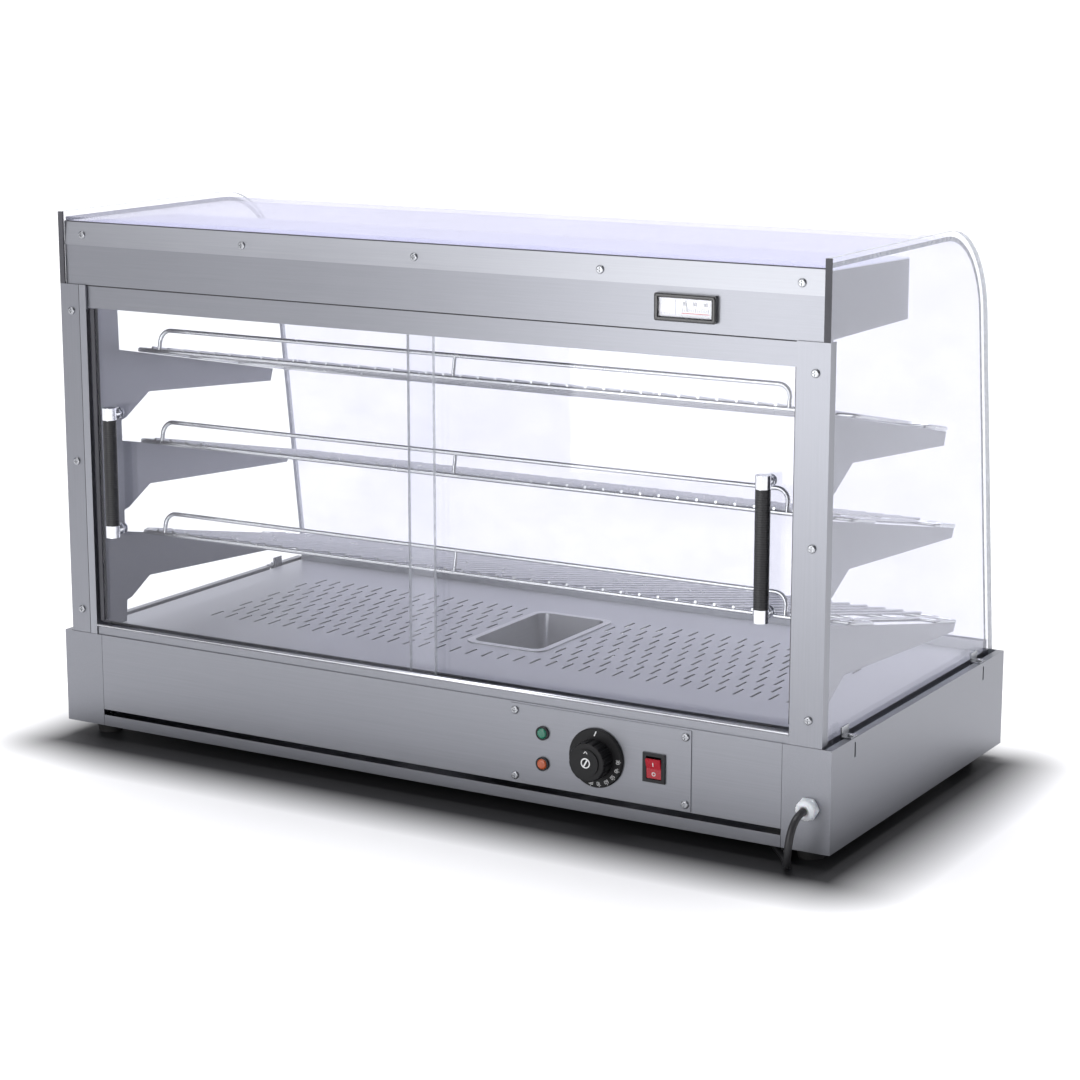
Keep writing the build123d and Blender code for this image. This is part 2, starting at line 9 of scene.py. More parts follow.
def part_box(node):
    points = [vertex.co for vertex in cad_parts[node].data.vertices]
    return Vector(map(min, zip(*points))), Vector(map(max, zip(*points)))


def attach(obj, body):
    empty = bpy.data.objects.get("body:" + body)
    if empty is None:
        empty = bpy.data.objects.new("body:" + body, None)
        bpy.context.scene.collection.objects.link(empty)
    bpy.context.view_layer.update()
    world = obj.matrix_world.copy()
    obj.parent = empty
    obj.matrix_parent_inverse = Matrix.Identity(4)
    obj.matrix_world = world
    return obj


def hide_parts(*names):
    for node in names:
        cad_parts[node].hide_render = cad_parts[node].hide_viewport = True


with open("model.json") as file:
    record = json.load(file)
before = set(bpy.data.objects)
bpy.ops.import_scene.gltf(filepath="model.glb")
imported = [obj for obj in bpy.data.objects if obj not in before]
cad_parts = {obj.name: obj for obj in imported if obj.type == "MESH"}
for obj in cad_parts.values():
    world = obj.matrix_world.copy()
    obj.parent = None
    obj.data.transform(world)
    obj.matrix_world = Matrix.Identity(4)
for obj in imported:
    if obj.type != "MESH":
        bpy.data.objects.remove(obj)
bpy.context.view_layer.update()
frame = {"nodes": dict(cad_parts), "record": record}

# Looks of a countertop hot food display case. Metres, +Z up, origin on the counter under the middle
# of the case, service side (doors and controls) towards -Y.

MM = 0.001


# ---------------------------------------------------------------- camera

CAMERA_AT = (1.59467, -2.64907, 0.91510)
CAMERA_AZIMUTH = 30.65
CAMERA_ELEVATION = 12.16
CAMERA_LENS = 90.84


def make_camera():
    azimuth, elevation = math.radians(CAMERA_AZIMUTH), math.radians(CAMERA_ELEVATION)
    level = math.cos(elevation)
    back = Vector((math.sin(azimuth) * level, -math.cos(azimuth) * level, math.sin(elevation)))
    data = bpy.data.cameras.new("camera")
    data.lens = CAMERA_LENS
    data.sensor_width = 36.0
    data.clip_end = 200.0
    camera = bpy.data.objects.new("camera", data)
    camera.location = CAMERA_AT
    camera.rotation_mode = "QUATERNION"
    camera.rotation_quaternion = (-back).to_track_quat("-Z", "Y")
    bpy.context.collection.objects.link(camera)
    bpy.context.scene.camera = camera


make_camera()


# ---------------------------------------------------------------- material tools

class Look:
    """A Principled material and short calls for its node tree."""

    def __init__(self, name, **sockets):
        self.material = bpy.data.materials.new(name)
        self.material.use_nodes = True
        self.nodes = self.material.node_tree.nodes
        self.links = self.material.node_tree.links
        self.shader = self.nodes["Principled BSDF"]
        for socket, value in sockets.items():
            self.shader.inputs[socket.replace("_", " ")].default_value = value

    def add(self, kind, **inputs):
        made = self.nodes.new("ShaderNode" + kind)
        for socket, value in inputs.items():
            self.feed(made.inputs[socket.replace("_", " ")], value)
        return made

    def feed(self, socket, value):
        if isinstance(value, bpy.types.NodeSocket):
            self.links.new(value, socket)
        else:
            socket.default_value = value

    def place(self, scale=(1, 1, 1)):
        """Object coordinates in metres, scaled per axis."""
        where = self.add("TexCoord").outputs["Object"]
        return self.add("Mapping", Vector=where, Scale=scale).outputs["Vector"]

    def noise(self, scale, detail=2.0, roughness=0.5, size=1.0):
        where = self.place(scale)
        made = self.add("TexNoise", Vector=where, Scale=size, Detail=detail, Roughness=roughness)
        return made.outputs["Fac"]

    def between(self, value, low, high, start=0.3, end=0.7):
        """value from start..end spread over low..high."""
        made = self.add("MapRange", Value=value)
        for socket, number in (("From Min", start), ("From Max", end), ("To Min", low), ("To Max", high)):
            made.inputs[socket].default_value = number
        return made.outputs["Result"]

    def mixed(self, share, first, second):
        made = self.nodes.new("ShaderNodeMix")
        made.data_type = "RGBA"
        self.feed(made.inputs["Factor"], share)
        self.feed(made.inputs[6], first)
        self.feed(made.inputs[7], second)
        return made.outputs[2]

    def average(self, first, second, share=0.5):
        made = self.nodes.new("ShaderNodeMix")
        made.data_type = "FLOAT"
        self.feed(made.inputs["Factor"], share)
        self.feed(made.inputs[2], first)
        self.feed(made.inputs[3], second)
        return made.outputs[0]

    def math(self, operation, *values):
        made = self.nodes.new("ShaderNodeMath")
        made.operation = operation
        for socket, value in zip(made.inputs, values):
            self.feed(socket, value)
        return made.outputs[0]

    def set(self, socket, value):
        self.feed(self.shader.inputs[socket], value)

    def bump(self, height, depth, strength=1.0):
        made = self.add("Bump", Height=height, Distance=depth, Strength=strength)
        self.set("Normal", made.outputs["Normal"])


def rgba(r, g, b):
    return (r, g, b, 1.0)


def shade(colour, factor):
    return rgba(*(min(1.0, c * factor) for c in colour))


GRAIN_ALONG = 5.0
GRAIN_ACROSS = 520.0
GRAIN_FINE = 1900.0


def brushed(name, colour, rough, along="x", streaks=0.05, clouds=0.03):
    """Satin brushed metal whose grain runs along one axis."""
    look = Look(name, Metallic=1.0)
    axis = "xyz".index(along)
    coarse = [GRAIN_ACROSS] * 3
    fine = [GRAIN_FINE] * 3
    coarse[axis] = GRAIN_ALONG
    fine[axis] = GRAIN_ALONG * 4
    lines = look.noise(coarse, 3.0, 0.6)
    hairs = look.noise(fine, 2.0, 0.5)
    cloud = look.noise((3.0, 3.0, 3.0), 3.0, 0.55)
    grain = look.average(lines, hairs, 0.5)
    tone = look.mixed(look.between(grain, 0.0, 1.0), shade(colour, 1 - streaks), shade(colour, 1 + streaks))
    tint = look.mixed(look.between(cloud, 0.0, 1.0), shade((1, 1, 1), 1 - clouds), rgba(1, 1, 1))
    product = look.nodes.new("ShaderNodeMix")
    product.data_type = "RGBA"
    product.blend_type = "MULTIPLY"
    product.inputs["Factor"].default_value = 1.0
    look.feed(product.inputs[6], tone)
    look.feed(product.inputs[7], tint)
    look.set("Base Color", product.outputs[2])
    grain_rough = look.between(grain, rough - 0.05, rough + 0.05)
    cloud_rough = look.between(cloud, rough - 0.04, rough + 0.04)
    look.set("Roughness", look.average(grain_rough, cloud_rough, 0.4))
    look.bump(grain, 0.00004, 0.35)
    return look.material


def plated(name, colour, rough):
    """Bright plated metal with faint waviness and handling marks."""
    look = Look(name, Metallic=1.0)
    haze = look.noise((60, 60, 60), 3.0, 0.6)
    ripple = look.noise((220, 220, 220), 2.0, 0.5)
    look.set("Base Color", look.mixed(look.between(haze, 0.0, 1.0), shade(colour, 0.92), rgba(*colour)))
    look.set("Roughness", look.between(haze, rough, rough + 0.08))
    look.bump(ripple, 0.00003, 0.25)
    return look.material


def moulded(name, colour, rough, grain=900.0, depth=0.00005, **sockets):
    """Moulded plastic or rubber with a fine spark-eroded grain."""
    look = Look(name, **sockets)
    fine = look.noise((grain, grain, grain), 2.0, 0.6)
    cloud = look.noise((25, 25, 25), 2.0, 0.5)
    share = look.between(cloud, 0.0, 1.0)
    look.set("Base Color", look.mixed(share, shade(colour, 0.85), shade(colour, 1.1)))
    look.set("Roughness", look.between(fine, rough - 0.06, rough + 0.06))
    look.bump(fine, depth, 0.5)
    return look.material


def pane(name, tint, mirror, strength, haze=None, rough=0.05):
    """Clear sheet glass: see-through, with an angle-dependent reflection and faint smears; haze, if given,
    lays a flat diffuse colour over it, a painted reflection.
    """
    look = Look(name)
    smear = look.noise((9, 9, 14), 3.0, 0.6)
    clear = look.nodes.new("ShaderNodeBsdfTransparent")
    clear.inputs["Color"].default_value = rgba(*tint)
    gloss = look.nodes.new("ShaderNodeBsdfGlossy")
    gloss.inputs["Color"].default_value = rgba(*mirror)
    look.feed(gloss.inputs["Roughness"], look.between(smear, rough - 0.05, rough))
    facing = look.add("LayerWeight", Blend=0.5).outputs["Facing"]
    grazing = look.math("POWER", facing, 5.0)
    share = look.math("MULTIPLY_ADD", grazing, 0.9 * strength, 0.04 * strength)
    mix = look.nodes.new("ShaderNodeMixShader")
    look.feed(mix.inputs["Fac"], share)
    look.links.new(clear.outputs[0], mix.inputs[1])
    look.links.new(gloss.outputs[0], mix.inputs[2])
    last = mix
    # haze: flat diffuse colour mixed over the glass, a painted reflection
    if haze:
        cloud = look.nodes.new("ShaderNodeBsdfDiffuse")
        cloud.inputs["Color"].default_value = rgba(*haze[0])
        painted_sheen_veil = look.nodes.new("ShaderNodeMixShader")
        look.feed(painted_sheen_veil.inputs["Fac"], look.between(smear, haze[1] * 0.7, haze[1] * 1.3))
        look.links.new(mix.outputs[0], painted_sheen_veil.inputs[1])
        look.links.new(cloud.outputs[0], painted_sheen_veil.inputs[2])
        last = painted_sheen_veil
    look.nodes.remove(look.shader)
    look.links.new(last.outputs[0], look.nodes["Material Output"].inputs["Surface"])
    return look.material


def glass_edge(name, colour, alpha):
    """Ground edge of a pane: denser than the face, slightly mottled."""
    look = Look(name, Alpha=alpha, IOR=1.5)
    mottle = look.noise((180, 180, 180), 2.0, 0.6)
    share = look.between(mottle, 0.0, 1.0)
    look.set("Base Color", look.mixed(share, shade(colour, 0.9), shade(colour, 1.08)))
    look.set("Roughness", look.between(mottle, 0.15, 0.35))
    return look.material


def lens(name, colour, glow):
    """Coloured lamp lens with fine prisms behind a glossy face."""
    look = Look(name, Coat_Weight=0.6, Coat_Roughness=0.08)
    ribs = look.add("TexWave", Vector=look.place((1, 1, 1)), Scale=180.0, Distortion=0.5).outputs["Fac"]
    look.set("Base Color", look.mixed(ribs, shade(colour, 0.75), shade(colour, 1.15)))
    look.set("Emission Color", look.mixed(ribs, shade(colour, 0.7), rgba(*colour)))
    look.set("Emission Strength", glow)
    look.set("Roughness", look.between(ribs, 0.18, 0.3, 0.0, 1.0))
    look.bump(ribs, 0.0001, 0.4)
    return look.material


# ---------------------------------------------------------------- materials

STEEL = (0.262, 0.268, 0.293)
TOP_TINT = (0.945, 0.945, 0.985)
TOP_MIRROR = (0.88, 0.88, 0.95)
# flat lilac diffuse veil over the top glass: painted reflection of the bright studio
TOP_PAINTED_SHEEN = ((0.83, 0.83, 0.99), 0.1)
looks = {
    "stainless": brushed("stainless", STEEL, 0.36),
    "deck_steel": brushed("deck_steel", (0.43, 0.437, 0.472), 0.4),
    "track": brushed("track", (0.5, 0.51, 0.545), 0.3, streaks=0.03),
    "pan_steel": brushed("pan_steel", (0.55, 0.556, 0.58), 0.3, "y", 0.04),
    "bright_screws": plated("bright_screws", (0.4, 0.41, 0.43), 0.22),
    "chrome_trim": plated("chrome_trim", (0.82, 0.83, 0.86), 0.07),
    "rack_wire": plated("rack_wire", (0.6, 0.61, 0.63), 0.2),
    "clear_glass": pane("clear_glass", (0.975, 0.978, 0.985), (0.9, 0.9, 0.96), 1.0),
    "seal_rubber": moulded("seal_rubber", (0.06, 0.06, 0.07), 0.6),
    "foot_rubber": moulded("foot_rubber", (0.025, 0.025, 0.025), 0.75),
    "grip_black": moulded("grip_black", (0.012, 0.012, 0.014), 0.38),
    "knob_black": moulded("knob_black", (0.007, 0.007, 0.008), 0.46, depth=0.00006, Specular_IOR_Level=0.3),
    "switch_black": moulded("switch_black", (0.01, 0.01, 0.012), 0.35, Specular_IOR_Level=0.35),
    "rocker_red": moulded("rocker_red", (0.42, 0.006, 0.02), 0.25, depth=0.00002, Coat_Weight=0.25),
    "lamp_green": lens("lamp_green", (0.008, 0.15, 0.09), 0.1),
    "lamp_orange": lens("lamp_orange", (0.42, 0.08, 0.02), 0.1),
    "nylon_white": moulded("nylon_white", (0.82, 0.83, 0.86), 0.45, Subsurface_Weight=0.1),
    "dial_white": moulded("dial_white", (0.85, 0.85, 0.86), 0.5),
    "bezel_black": moulded("bezel_black", (0.012, 0.012, 0.014), 0.25,
                           Coat_Weight=0.6, Coat_Roughness=0.08),
    "heater_tube": brushed("heater_tube", (0.2, 0.19, 0.19), 0.5, "x"),
    "cord_black": moulded("cord_black", (0.016, 0.016, 0.018), 0.42, grain=500.0),
    "shoe_nylon": moulded("shoe_nylon", (0.08, 0.08, 0.08), 0.5),
    "plastic_inside": moulded("plastic_inside", (0.7, 0.68, 0.6), 0.5),
    "top_glass": pane("top_glass", TOP_TINT, TOP_MIRROR, 0.75, TOP_PAINTED_SHEEN, 0.22),
    "ground_edge": glass_edge("ground_edge", (0.62, 0.65, 0.68), 0.6),
    "dark_edge": glass_edge("dark_edge", (0.3, 0.32, 0.35), 0.75),
    # canopy lid: the stainless made near-white and lilac, painted light of the bright sky on its top
    "lid_steel_painted_light": brushed("lid_steel_painted_light", (0.74, 0.75, 0.84), 0.45),
    # near-white steel for the rolled hem: painted highlight along the track's lip
    "hem_painted_highlight": brushed("hem_painted_highlight", (0.93, 0.94, 0.98), 0.28, streaks=0.02),
    "strip_steel": brushed("strip_steel", (0.34, 0.347, 0.375), 0.36),
    # lighter copy of the upright steel: painted light on the face of the post's fold
    "fold_steel_painted_light": brushed("fold_steel_painted_light", (0.31, 0.317, 0.345), 0.34, "z"),
    # near-black strips: painted shade under the fascia and beside the post's fold
    "shade_line_dark": moulded("shade_line_dark", (0.02, 0.02, 0.024), 0.6),
    "steel_upright": brushed("steel_upright", STEEL, 0.36, "z"),
    "steel_side": brushed("steel_side", STEEL, 0.38, "y"),
    "print_white": moulded("print_white", (0.8, 0.8, 0.8), 0.5),
    "print_red": moulded("print_red", (0.6, 0.08, 0.08), 0.5),
    "print_grey": moulded("print_grey", (0.12, 0.12, 0.13), 0.5),
}
NODE_LOOKS = {
    "post_left": "steel_upright",
    "post_right": "steel_upright",
    "bracket_left": "steel_side",
    "bracket_right": "steel_side",
    "base_side_left": "steel_side",
    "base_side_right": "steel_side",
    "curved_glass": "top_glass",
    "canopy_lid": "lid_steel_painted_light",
    "top_strip": "strip_steel",
    "door_track_bottom": "stainless",
    "lamp_bodies": "switch_black",
}

for subpart in frame["record"]["subparts"]:
    look = looks[NODE_LOOKS.get(subpart["node"], subpart["material_slot"])]
    for slot in frame["nodes"][subpart["node"]].material_slots:
        slot.material = look


# ---------------------------------------------------------------- piece tools

def piece(name, mesh, look, body, smooth=False):
    mesh.materials.append(looks[look])
    made = bpy.data.objects.new(name, mesh)
    bpy.context.collection.objects.link(made)
    if smooth:
        for polygon in mesh.polygons:
            polygon.use_smooth = True
    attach(made, body)
    return made


def finished(name, bm):
    bmesh.ops.recalc_face_normals(bm, faces=bm.faces)
    mesh = bpy.data.meshes.new(name)
    bm.to_mesh(mesh)
    bm.free()
    return mesh


def loft(name, rings):
    """Closed mesh through a list of rings of points, all of one length, with flat ends."""
    bm = bmesh.new()
    loops = [[bm.verts.new(point) for point in ring] for ring in rings]
    count = len(loops[0])
    for first, second in zip(loops, loops[1:]):
        for i in range(count):
            j = (i + 1) % count
            bm.faces.new((first[i], first[j], second[j], second[i]))
    bm.faces.new(loops[0])
    bm.faces.new(reversed(loops[-1]))
    return finished(name, bm)


def turned(name, profile, origin, axis, sides=48, shape=None):
    """Loft of (radius, height) stations round an axis; shape, if given, returns the radius at an angle."""
    across = Vector((0, 0, 1)) if abs(axis.z) < 0.5 else Vector((1, 0, 0))
    other = axis.cross(across).normalized()
    rings = []
    for radius, height in profile:
        ring = []
        for step in range(sides):
            angle = 2 * math.pi * step / sides
            r = shape(angle, radius, height) if shape else radius
            spoke = across * (r * math.cos(angle)) + other * (r * math.sin(angle))
            ring.append(origin + axis * height + spoke)
        rings.append(ring)
    return loft(name, rings)


def plates(name, outlines, thickness, normal):
    """Thin prints: each flat outline thickened along normal."""
    bm = bmesh.new()
    for outline in outlines:
        low = [bm.verts.new(p) for p in outline]
        high = [bm.verts.new(p + normal * thickness) for p in outline]
        bm.faces.new(low)
        bm.faces.new(reversed(high))
        for i in range(len(low)):
            j = (i + 1) % len(low)
            bm.faces.new((low[i], high[i], high[j], low[j]))
    return finished(name, bm)


def middle(node):
    low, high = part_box(node)
    return (low + high) / 2


# ---------------------------------------------------------------- power cord

CORD_D = 0.008
CORD_ROUTE = [
    (476, -237.05, 63),
    (476, -251, 63),
    (474.6, -264, 48.5),
    (473, -267, 27),
    (469, -259, 9.5),
    (461, -241, 4),
    (443, -213, 4),
    (402, -167, 4),
    (355, -105, 4),
    (292, -43, 4),
    (236, 33, 4),
    (184, 117, 4),
    (148, 201, 4),
    (104, 269, 4),
    (76, 337, 4),
]
COIL_START = 6.0
COIL_END = 1170.0
COIL_STEP = 20.0
COIL_OUTER = 48.7
COIL_INNER = 40.3
LAYER_LOW = 4.0
LAYER_HIGH = 12.1


def eased(value, start, end):
    share = min(1.0, max(0.0, (value - start) / (end - start)))
    return share * share * (3 - 2 * share)


def coil_points():
    """Two turns side by side on the counter, then two on top of them."""
    low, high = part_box("cord_coil")
    centre = (low + high) / 2 / MM
    points = []
    angle = COIL_START
    while angle <= COIL_END:
        inward = eased(angle, 290, 355) - eased(angle, 890, 955)
        lift = eased(angle, 590, 655)
        radius = COIL_OUTER + (COIL_INNER - COIL_OUTER) * inward
        turn = math.radians(angle)
        height = LAYER_LOW + (LAYER_HIGH - LAYER_LOW) * lift
        points.append((centre.x + radius * math.cos(turn), centre.y + radius * math.sin(turn), height))
        angle += COIL_STEP
    return points


def make_cord():
    sleeve_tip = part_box("plug_body")[1].x / MM
    plug = middle("plug_body") / MM
    tail = [
        (sleeve_tip + 9, plug.y + 1.5, plug.z - 1.2),
        (sleeve_tip, plug.y, plug.z),
        (sleeve_tip - 8, plug.y, plug.z),
    ]
    points = [Vector(p) * MM for p in CORD_ROUTE + coil_points() + tail]
    data = bpy.data.curves.new("power_lead", "CURVE")
    data.dimensions = "3D"
    data.resolution_u = 6
    data.bevel_depth = CORD_D / 2
    data.bevel_resolution = 5
    spline = data.splines.new("NURBS")
    spline.points.add(len(points) - 1)
    for target, point in zip(spline.points, points):
        target.co = (*point, 1.0)
    spline.order_u = 3
    spline.use_endpoint_u = True
    data.materials.append(looks["cord_black"])
    lead = bpy.data.objects.new("power_lead", data)
    bpy.context.collection.objects.link(lead)
    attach(lead, "case")
    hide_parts("power_cord", "cord_coil")
    return lead


def superellipse(x, centre, half_y, half_z, power, count=48):
    ring = []
    for step in range(count):
        angle = 2 * math.pi * step / count
        c, s = math.cos(angle), math.sin(angle)
        y = half_y * math.copysign(abs(c) ** (2 / power), c)
        z = half_z * math.copysign(abs(s) ** (2 / power), s)
        ring.append(Vector((x, centre.y + y * MM, centre.z + z * MM)))
    return ring


def make_plug():
    """Moulded plug: ringed sleeve, waisted grip with side ribs, round face.

    A station is (distance from the sleeve's tip, half width, half height, superellipse power).
    """
    low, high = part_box("plug_body")
    centre = (low + high) / 2
    stations = [(0.2, 4.3, 4.3, 2.0)]
    for ring in range(7):
        start = 1.0 + 3.4 * ring
        radius = 4.6 + 0.45 * ring
        groove = radius - 0.7
        stations += [(start, radius, radius, 2.0), (start + 2.2, radius + 0.3, radius + 0.3, 2.0)]
        stations += [(start + 2.4, groove, groove, 2.0), (start + 3.2, groove, groove, 2.0)]
    stations += [(25.5, 8.0, 8.0, 2.0), (27.5, 10.5, 9.5, 2.3)]
    stations += [(30.5, 14.2, 11.4, 2.7), (34.5, 16.2, 12.6, 3.0)]
    for rib in range(5):
        start = 37.5 + 4.2 * rib
        waist = 15.4 - 0.35 * rib
        stations += [(start, waist, 12.8, 3.2), (start + 0.5, waist - 0.9, 12.8, 3.2)]
        stations += [(start + 2.2, waist - 0.9, 12.8, 3.2), (start + 2.7, waist, 12.8, 3.2)]
    stations += [(59.2, 16.4, 14.4, 2.5), (60.4, 16.9, 16.8, 2.0)]
    stations += [(64.6, 16.9, 16.9, 2.0), (65.8, 16.0, 16.0, 2.0)]
    rings = [superellipse(high.x - s[0] * MM, centre, s[1], s[2], s[3]) for s in stations]
    made = piece("mains_plug", loft("mains_plug", rings), "cord_black", "case", smooth=True)
    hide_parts("plug_body")
    return made


lead = make_cord()
plug = make_plug()


# ---------------------------------------------------------------- glass edges

EDGE_SKIN = 0.15 * MM


def edge_band(name, node, keep, look, body):
    """Skin over the ground edge faces of a pane; keep(normal, centre) picks the faces."""
    bm = bmesh.new()
    bm.from_mesh(frame["nodes"][node].data)
    bmesh.ops.remove_doubles(bm, verts=bm.verts, dist=1e-6)
    bm.normal_update()
    drop = [face for face in bm.faces if not keep(face.normal, face.calc_center_median())]
    bmesh.ops.delete(bm, geom=drop, context="FACES")
    mesh = bpy.data.meshes.new(name)
    bm.to_mesh(mesh)
    bm.free()
    band = piece(name, mesh, look, body)
    skin = band.modifiers.new("skin", "SOLIDIFY")
    skin.thickness = EDGE_SKIN
    skin.offset = 1.0
    return band


def on_outline(normal, centre):
    return abs(normal.x) < 0.5


def on_end(normal, centre):
    return abs(normal.x) > 0.9


def on_lap(normal, centre):
    return abs(normal.x) > 0.9 and abs(centre.x) < 0.03


for hand in ("left", "right"):
    edge_band(f"end_glass_{hand}_edge", f"end_glass_{hand}", on_outline, "ground_edge", "case")
    edge_band(f"door_{hand}_glass_edge", f"door_{hand}_glass", on_lap, "ground_edge", f"{hand}_door")
edge_band("curved_glass_edge", "curved_glass", on_end, "dark_edge", "case")


# ---------------------------------------------------------------- hem, painted shade lines and end closures

def bar(low, high, bevel=0.0003):
    """Outline rings of a straight bar with softened long edges, running along its longest side."""
    size = high - low
    along = max(range(3), key=lambda axis: size[axis])
    u, v = [axis for axis in range(3) if axis != along]
    rings = []
    for end in (low[along], high[along]):
        ring = []
        for at_u, at_v, turn in ((0, 0, 1), (1, 0, 0), (1, 1, 1), (0, 1, 0)):
            corner_u = (low[u], high[u])[at_u]
            corner_v = (low[v], high[v])[at_v]
            in_u = bevel if at_u == 0 else -bevel
            in_v = bevel if at_v == 0 else -bevel
            pair = [(corner_u, corner_v + in_v), (corner_u + in_u, corner_v)]
            for point_u, point_v in (pair if turn else reversed(pair)):
                point = Vector((0, 0, 0))
                point[along], point[u], point[v] = end, point_u, point_v
                ring.append(point)
        rings.append(ring)
    return rings


def bars(name, spans, look):
    """One piece made of several straight bars, each given by its low and high corner."""
    bm = bmesh.new()
    for low, high in spans:
        first, last = [[bm.verts.new(point) for point in ring] for ring in bar(Vector(low), Vector(high))]
        for i in range(8):
            bm.faces.new((first[i], first[i - 1], last[i - 1], last[i]))
        bm.faces.new(first)
        bm.faces.new(reversed(last))
    piece(name, finished(name, bm), look, "case")


FOLD_W = 9.6 * MM
END_GAP = 1.0 * MM
HEM_SIDES = 24


def make_track_hem():
    """Rolled hem along the front leg of the bottom door track, in near-white steel: a painted highlight on
    top of the one its round shape catches.
    """
    low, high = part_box("door_track_bottom")
    rings = []
    for x in (low.x, high.x):
        ring = []
        for step in range(HEM_SIDES):
            turn = 2 * math.pi * step / HEM_SIDES
            y = low.y + (0.8 + 2.25 * math.cos(turn)) * MM
            z = high.z + (-1.5 + 2.15 * math.sin(turn)) * MM
            ring.append(Vector((x, y, z)))
        rings.append(ring)
    piece("track_hem", loft("track_hem", rings), "hem_painted_highlight", "case", smooth=True)


def make_seams():
    """Dark strips painting the shade under the canopy's fascia and beside the fold of the left post, a dark
    line along the top of its strip, the end closures of its front, and a lighter band painting the light on
    that fold.
    """
    low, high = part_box("canopy_fascia")
    strip_low, strip_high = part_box("top_strip")
    post_low, post_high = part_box("post_left")
    fold = post_high.x - FOLD_W
    under = Vector((0, -0.5, -1.3)) * MM
    over = Vector((0, 3.0, 1.0)) * MM
    # painted shade under the fascia's lower edge, a dark line along the top of the strip, painted shade
    # beside the fold
    dark = [
        ((low.x, low.y + under.y, low.z + under.z), (high.x, low.y + 1.0 * MM, low.z)),
        ((low.x, strip_low.y + 1.0 * MM, strip_high.z),
         (high.x, strip_low.y + over.y, strip_high.z + over.z)),
        ((fold - 0.7 * MM, post_low.y - 0.15 * MM, post_low.z), (fold, post_low.y, post_high.z)),
    ]
    bars("painted_shade_lines", dark, "shade_line_dark")
    ends = [
        ((low.x - END_GAP, low.y, low.z), (low.x, high.y, strip_high.z)),
        ((high.x, low.y, low.z), (high.x + END_GAP, high.y, strip_high.z)),
    ]
    bars("fascia_ends", ends, "stainless")
    # thin flat band, lighter than the post: painted light on the fold's face
    band = ((fold, post_low.y - 0.4 * MM, post_low.z), (post_high.x, post_low.y, post_high.z))
    bars("post_fold_painted_light", [band], "fold_steel_painted_light")


RIM_H = 1.3 * MM
RIM_STEPS = 10


def make_thermometer_rim():
    """Rounded glossy rim on the thermometer's flat bezel."""
    low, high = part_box("thermometer_case")
    window_low, window_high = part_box("thermometer_face")
    centre = (low + high) / 2
    width = (high.z - low.z - (window_high.z - window_low.z)) / 4
    reach_x = (high.x - low.x) / 2 - width
    reach_z = (high.z - low.z) / 2 - width
    corner = 1.6 * MM
    path = []
    for quarter, (sign_x, sign_z) in enumerate(((1, 1), (-1, 1), (-1, -1), (1, -1))):
        hub_x = centre.x + sign_x * (reach_x - corner)
        hub_z = centre.z + sign_z * (reach_z - corner)
        for step in range(7):
            turn = math.radians(90 * quarter + 15 * step)
            out = Vector((math.cos(turn), 0, math.sin(turn)))
            path.append((Vector((hub_x, low.y, hub_z)) + out * corner, out))
    bm = bmesh.new()
    loops = []
    for spot, out in path:
        section = []
        for step in range(RIM_STEPS + 1):
            turn = math.pi * step / RIM_STEPS
            rise = Vector((0, -RIM_H * math.sin(turn), 0))
            section.append(bm.verts.new(spot + out * (width * math.cos(turn)) + rise))
        loops.append(section)
    for index, section in enumerate(loops):
        after = loops[(index + 1) % len(loops)]
        for i in range(RIM_STEPS + 1):
            j = (i + 1) % (RIM_STEPS + 1)
            bm.faces.new((section[i], section[j], after[j], after[i]))
    mesh = finished("thermometer_rim", bm)
    piece("thermometer_rim", mesh, "bezel_black", "case", smooth=True)


make_track_hem()
make_seams()
make_thermometer_rim()


# ---------------------------------------------------------------- knob, switch and thermometer prints

PRINT = 0.12 * MM


def stroke(a, b, width, lift=Vector((0, 0, 0))):
    """Outline of a bar from a to b on a plane facing -Y."""
    along = (b - a).normalized()
    side = Vector((along.z, 0, -along.x)) * (width / 2)
    return [a + side + lift, b + side + lift, b - side + lift, a - side + lift]


def disc_ring(centre, outer, inner, sides=36):
    """Quads of a flat ring facing -Y."""
    quads = []
    for step in range(sides):
        turn = [2 * math.pi * (step + k) / sides for k in (0, 1)]
        spots = [Vector((math.cos(t), 0, math.sin(t))) for t in turn]
        quads.append([centre + spots[0] * inner, centre + spots[0] * outer,
                      centre + spots[1] * outer, centre + spots[1] * inner])
    return quads


DIGIT_SEGMENTS = {
    "0": "abcdef", "1": "bc", "2": "abged", "3": "abgcd", "4": "fgbc",
    "5": "afgcd", "6": "afgedc", "7": "abc", "8": "abcdefg", "9": "abcdfg",
}
SEGMENT_ENDS = {
    "a": ((0, 2), (1, 2)), "b": ((1, 2), (1, 1)), "c": ((1, 1), (1, 0)), "d": ((0, 0), (1, 0)),
    "e": ((0, 1), (0, 0)), "f": ((0, 2), (0, 1)), "g": ((0, 1), (1, 1)),
}


def number(text, centre, size, angle=0.0):
    """Strokes of a plain number, turned by angle in the plane facing -Y."""
    width = size * 0.5
    step = size * 0.8
    strokes = []
    start = -step * (len(text) - 1) / 2
    for index, digit in enumerate(text):
        for segment in DIGIT_SEGMENTS[digit]:
            ends = []
            for u, v in SEGMENT_ENDS[segment]:
                x = start + index * step + (u - 0.5) * width
                z = (v - 1) * size / 2
                ends.append(centre + Vector((x * math.cos(angle) - z * math.sin(angle), 0,
                                             x * math.sin(angle) + z * math.cos(angle))))
            strokes.append(stroke(ends[0], ends[1], size * 0.15))
    return strokes


